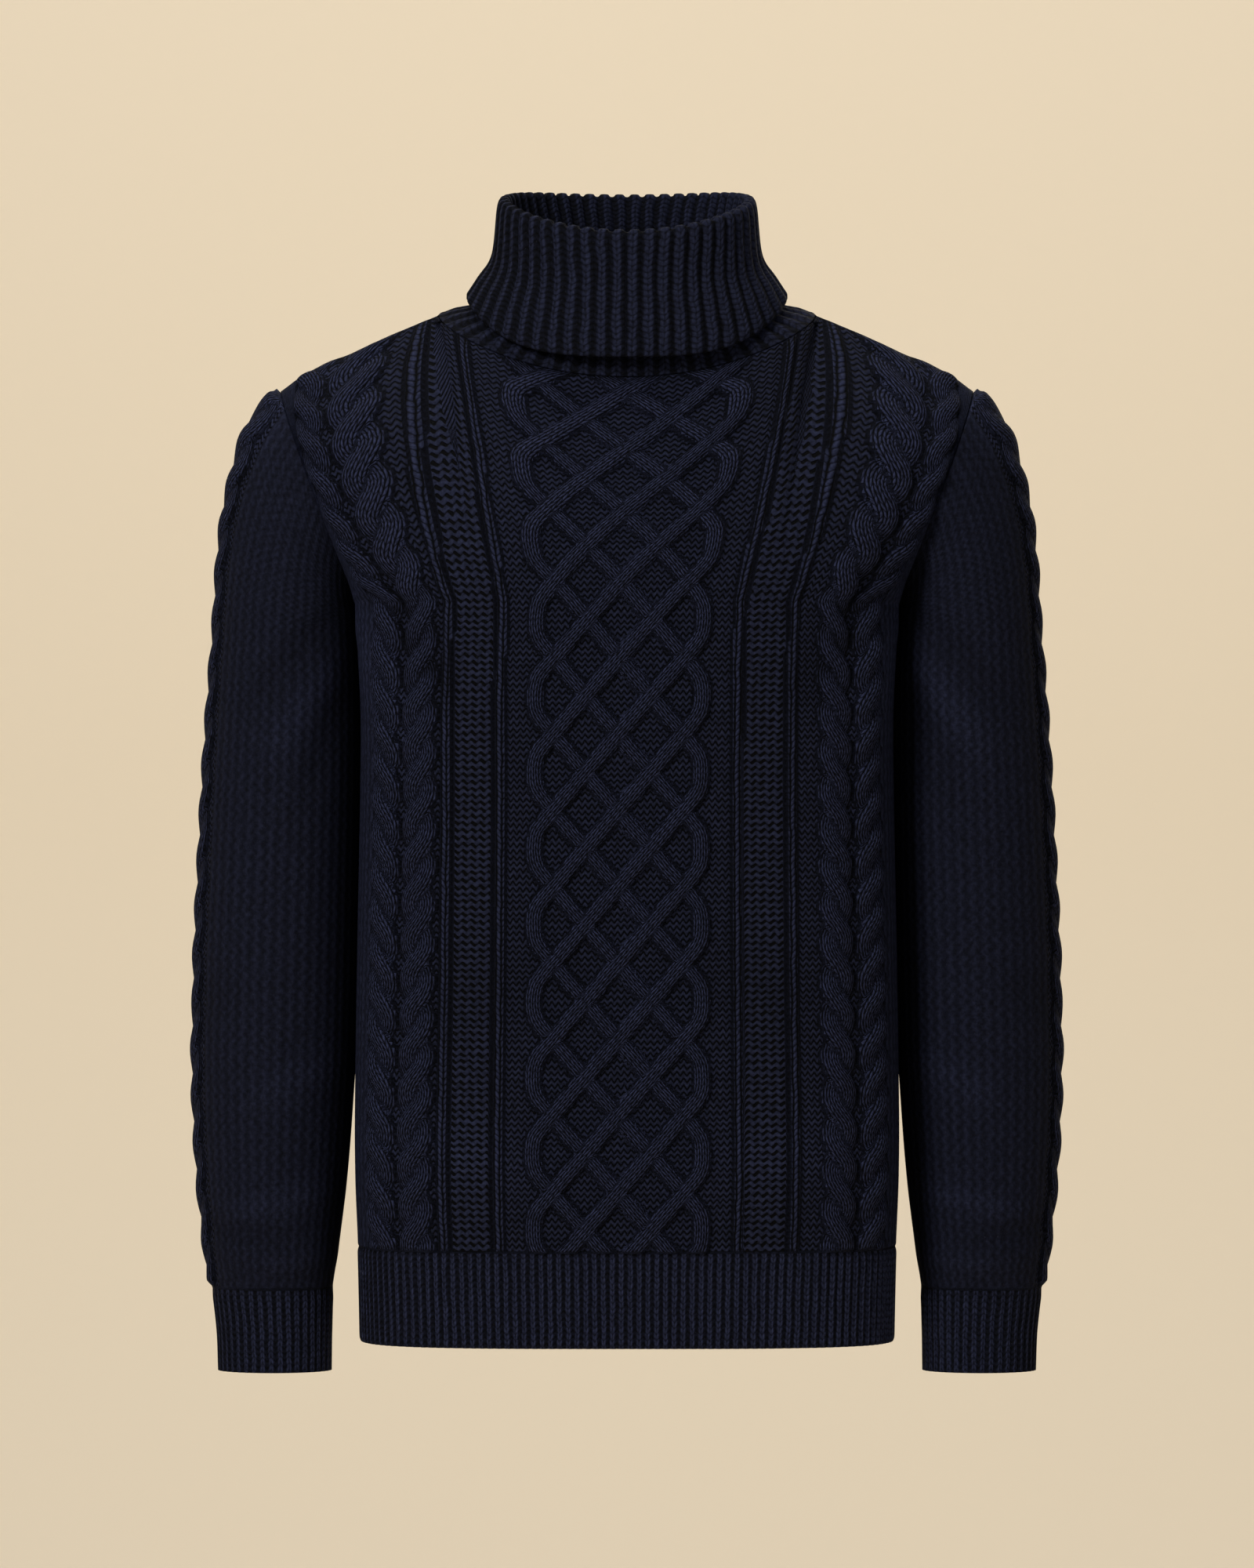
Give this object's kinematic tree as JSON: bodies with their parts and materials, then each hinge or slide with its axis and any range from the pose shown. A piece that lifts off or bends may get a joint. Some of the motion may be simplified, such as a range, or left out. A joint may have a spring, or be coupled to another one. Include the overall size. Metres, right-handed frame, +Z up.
{
  "type": "turtleneck sweater",
  "caption": "Chunky cable-knit roll-neck sweater, worn form with no wearer: folded ribbed collar, central lattice of crossing ropes between nets and cables, ribbed hem and cuffs.",
  "frame": {"origin": "base of the neck between the shoulders, where the wearer holds the sweater up", "axes": "+Z up towards the collar; -Y out of the front of the sweater; +X towards the wearer's left arm"},
  "size_m": [0.5884, 0.2326, 0.7937],
  "materials": {
    "navy_yarn": "matte"
  },
  "bodies": {
    "root": {"front": "navy_yarn", "back": "navy_yarn", "sleeve_left": "navy_yarn", "sleeve_right": "navy_yarn", "collar": "navy_yarn"}
  },
  "joints": []
}
